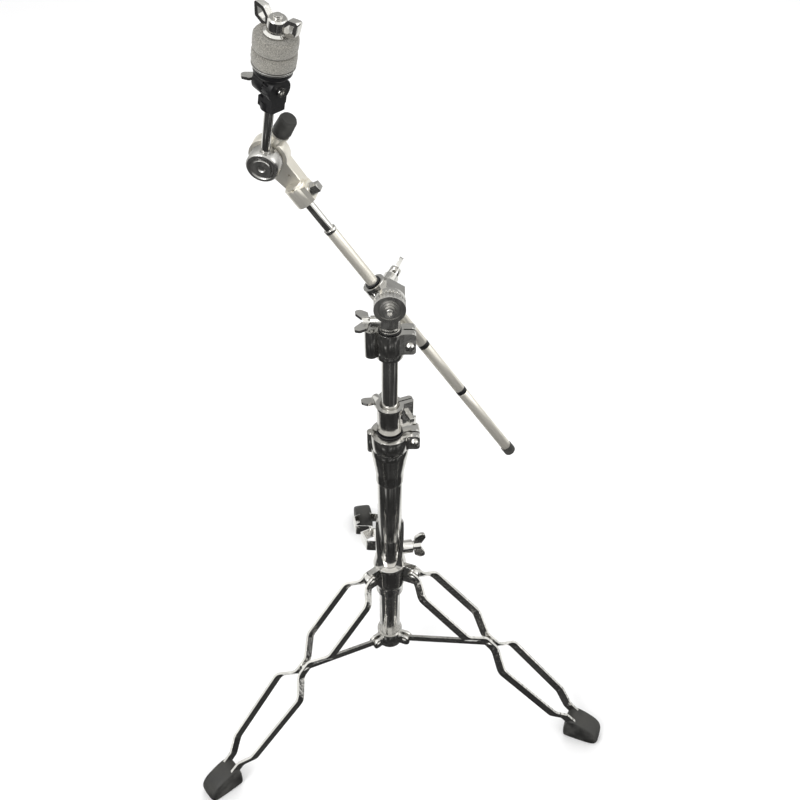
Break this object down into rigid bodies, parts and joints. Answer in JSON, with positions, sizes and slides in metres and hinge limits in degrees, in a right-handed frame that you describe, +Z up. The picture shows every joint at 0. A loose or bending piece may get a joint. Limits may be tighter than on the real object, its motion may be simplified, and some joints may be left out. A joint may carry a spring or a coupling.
{
  "type": "cymbal boom stand",
  "caption": "Double-clamp cymbal boom stand: folding tripod with figure-eight strip legs, telescoping uprights, ratchet tilter, boom with drum brake and felted cymbal seat.",
  "frame": {"origin": "on the floor, under the middle of the stand's bounding box", "axes": "+Z up the upright tubes, +X to the right and -Y towards the front, where the ratchet disc faces"},
  "size_m": [0.5464, 0.517, 1.0053],
  "materials": {
    "chrome_tube": "polished",
    "chrome_cast": "polished casting",
    "dark_cast": "polished",
    "satin_metal": "satin",
    "steel_screws": "polished",
    "chrome_strip": "polished",
    "rubber": "matte",
    "felt": "matte wool",
    "black_plastic": "matte",
    "black_nylon": "matte"
  },
  "bodies": {
    "base": {"base_tube": "chrome_tube", "leg_collar": "chrome_cast", "collar_pins": "steel_screws", "base_clamp": "chrome_cast", "base_clamp_jaw": "chrome_cast", "base_clamp_hinge_pin": "steel_screws", "base_clamp_bolt": "steel_screws"},
    "tripod_wing": {"tripod_wing_screw": "chrome_cast"},
    "base_wing": {"base_wing_nut": "chrome_cast"},
    "base_bush": {"base_bush": "black_nylon"},
    "hub": {"leg_tube": "chrome_tube", "brace_hub": "chrome_cast"},
    "leg_1": {"leg_1_strips": "chrome_strip", "leg_1_waist_pin": "steel_screws", "foot_1": "rubber"},
    "brace_1": {"brace_1": "chrome_strip"},
    "leg_2": {"leg_2_strips": "chrome_strip", "leg_2_waist_pin": "steel_screws", "foot_2": "rubber"},
    "brace_2": {"brace_2": "chrome_strip"},
    "leg_3": {"leg_3_strips": "chrome_strip", "leg_3_waist_pin": "steel_screws", "foot_3": "rubber"},
    "brace_3": {"brace_3": "chrome_strip"},
    "middle": {"mid_tube": "chrome_tube", "memory_lock": "chrome_cast", "memory_lock_key_screw": "steel_screws", "upper_clamp": "chrome_cast", "upper_clamp_jaw": "chrome_cast", "upper_clamp_hinge_pin": "steel_screws", "upper_clamp_bolt": "steel_screws", "upper_bush": "black_nylon"},
    "memory_wing": {"memory_wing_screw": "chrome_cast"},
    "post": {"post_tube": "chrome_tube", "tilter_base": "dark_cast", "tilter_bolt": "steel_screws"},
    "tilter_wing": {"tilter_wing_screw": "chrome_cast"},
    "tilter_head": {"tilter_head": "chrome_cast"},
    "eye_wing": {"eye_wing_screw": "chrome_cast"},
    "eye_bush": {"eye_bush": "black_nylon"},
    "boom": {"boom_tube": "satin_metal", "boom_ring": "chrome_cast", "boom_bands": "black_plastic", "boom_end_cap": "rubber", "boom_inner_rod": "chrome_tube", "brake_arm": "satin_metal", "arm_key_screw": "steel_screws"},
    "brake_knob": {"brake_knob": "rubber"},
    "drum": {"brake_drum": "dark_cast", "cymbal_rod": "chrome_tube", "ratchet_base": "black_plastic", "ratchet_bolt": "steel_screws"},
    "ratchet_wing": {"ratchet_wing_nut": "chrome_cast"},
    "seat": {"ratchet_head": "black_plastic", "seat_post": "chrome_tube", "seat_sleeve": "black_plastic", "cup_washer": "dark_cast", "lower_felt": "felt"},
    "upper_felt": {"upper_felt": "felt"},
    "cymbal_nut": {"cymbal_wing_nut": "chrome_cast"}
  },
  "joints": [
    {"name": "leg_fold", "type": "slide", "parent": "base", "child": "hub", "axis": [0, 0, -1], "range_m": [0, 0.13045]},
    {"name": "leg_1_hinge", "type": "hinge", "parent": "base", "child": "leg_1", "pos_m": [-0.05028, -0.07489, 0.236], "axis": [0.6293, -0.7771, 0], "range_deg": [0, 44.6]},
    {"name": "brace_1_hinge", "type": "hinge", "parent": "leg_1", "child": "brace_1", "pos_m": [-0.13714, -0.14523, 0.14053], "axis": [0.6293, -0.7771, 0], "range_deg": [-101.53, 0]},
    {"name": "leg_2_hinge", "type": "hinge", "parent": "base", "child": "leg_2", "pos_m": [0.0096, -0.0654, 0.236], "axis": [0.3584, 0.9336, 0], "range_deg": [0, 44.6]},
    {"name": "brace_2_hinge", "type": "hinge", "parent": "leg_2", "child": "brace_2", "pos_m": [0.11396, -0.10546, 0.14053], "axis": [0.3584, 0.9336, 0], "range_deg": [-101.53, 0]},
    {"name": "leg_3_hinge", "type": "hinge", "parent": "base", "child": "leg_3", "pos_m": [-0.02855, -0.01829, 0.236], "axis": [-0.9877, -0.1564, 0], "range_deg": [0, 44.6]},
    {"name": "brace_3_hinge", "type": "hinge", "parent": "leg_3", "child": "brace_3", "pos_m": [-0.04604, 0.09211, 0.14053], "axis": [-0.9877, -0.1564, 0], "range_deg": [-101.53, 0]},
    {"name": "tripod_wing_turn", "type": "hinge", "parent": "base", "child": "tripod_wing", "pos_m": [-0.02307, -0.05286, 0.272], "axis": [0.9848, 0.1736, 0], "range_deg": [0, 180]},
    {"name": "base_wing_turn", "type": "hinge", "parent": "base", "child": "base_wing", "pos_m": [0.00643, -0.05286, 0.475], "axis": [0, 1, 0], "range_deg": [0, 180]},
    {"name": "upright_swivel", "type": "hinge", "parent": "base", "child": "base_bush", "pos_m": [-0.02307, -0.05286, 0.485], "axis": [0, 0, 1], "continuous": true},
    {"name": "middle_height", "type": "slide", "parent": "base_bush", "child": "middle", "axis": [0, 0, 1], "range_m": [0, 0.2]},
    {"name": "memory_wing_turn", "type": "hinge", "parent": "middle", "child": "memory_wing", "pos_m": [-0.02307, -0.05286, 0.512], "axis": [-0.5, 0.866, 0], "range_deg": [0, 90]},
    {"name": "post_height", "type": "slide", "parent": "middle", "child": "post", "axis": [0, 0, 1], "range_m": [0, 0.1]},
    {"name": "tilter_wing_turn", "type": "hinge", "parent": "post", "child": "tilter_wing", "pos_m": [-0.02307, -0.05286, 0.65], "axis": [-1, 0, 0], "range_deg": [0, 45]},
    {"name": "boom_tilt", "type": "hinge", "parent": "post", "child": "tilter_head", "pos_m": [-0.02307, -0.05886, 0.676], "axis": [0, -1, 0], "range_deg": [-15, 65]},
    {"name": "eye_wing_turn", "type": "hinge", "parent": "tilter_head", "child": "eye_wing", "pos_m": [-0.03166, -0.02886, 0.67036], "axis": [0.4179, 0.866, 0.2745], "range_deg": [0, 180]},
    {"name": "boom_twist", "type": "hinge", "parent": "tilter_head", "child": "eye_bush", "pos_m": [-0.03166, -0.02886, 0.67036], "axis": [-0.549, 0, 0.8358], "range_deg": [-60, 60]},
    {"name": "boom_reach", "type": "slide", "parent": "eye_bush", "child": "boom", "axis": [-0.549, 0, 0.8358], "range_m": [-0.07, 0.2]},
    {"name": "brake_knob_turn", "type": "hinge", "parent": "boom", "child": "brake_knob", "pos_m": [-0.14304, -0.01995, 0.83633], "axis": [0.4504, -0.2484, 0.8576], "range_deg": [0, 180]},
    {"name": "brake_turn", "type": "hinge", "parent": "boom", "child": "drum", "pos_m": [-0.14492, -0.02762, 0.8351], "axis": [-0.2351, -0.9596, -0.1544], "range_deg": [-60, 60]},
    {"name": "ratchet_wing_turn", "type": "hinge", "parent": "drum", "child": "ratchet_wing", "pos_m": [-0.13148, -0.05536, 0.92546], "axis": [-0.6878, 0.6796, 0.2552], "range_deg": [0, 180]},
    {"name": "seat_tilt", "type": "hinge", "parent": "drum", "child": "seat", "pos_m": [-0.13148, -0.05536, 0.92546], "axis": [0.6878, -0.6796, -0.2552], "range_deg": [-35, 35]},
    {"name": "upper_felt_lift", "type": "slide", "parent": "seat", "child": "upper_felt", "axis": [0.165, -0.196, 0.9666], "range_m": [0, 0.01]},
    {"name": "cymbal_nut_turn", "type": "hinge", "parent": "upper_felt", "child": "cymbal_nut", "pos_m": [-0.12801, -0.05948, 0.94576], "axis": [0.165, -0.196, 0.9666], "range_deg": [0, 2881]}
  ],
  "couplings": [
    {"joint": "leg_1_hinge", "follows": "leg_fold", "rad_per_m": 5.9538},
    {"joint": "brace_1_hinge", "follows": "leg_fold", "rad_per_m": -13.571},
    {"joint": "leg_2_hinge", "follows": "leg_fold", "rad_per_m": 5.9538},
    {"joint": "brace_2_hinge", "follows": "leg_fold", "rad_per_m": -13.571},
    {"joint": "leg_3_hinge", "follows": "leg_fold", "rad_per_m": 5.9538},
    {"joint": "brace_3_hinge", "follows": "leg_fold", "rad_per_m": -13.571},
    {"joint": "cymbal_nut_turn", "follows": "upper_felt_lift", "rad_per_m": 5026.5}
  ]
}
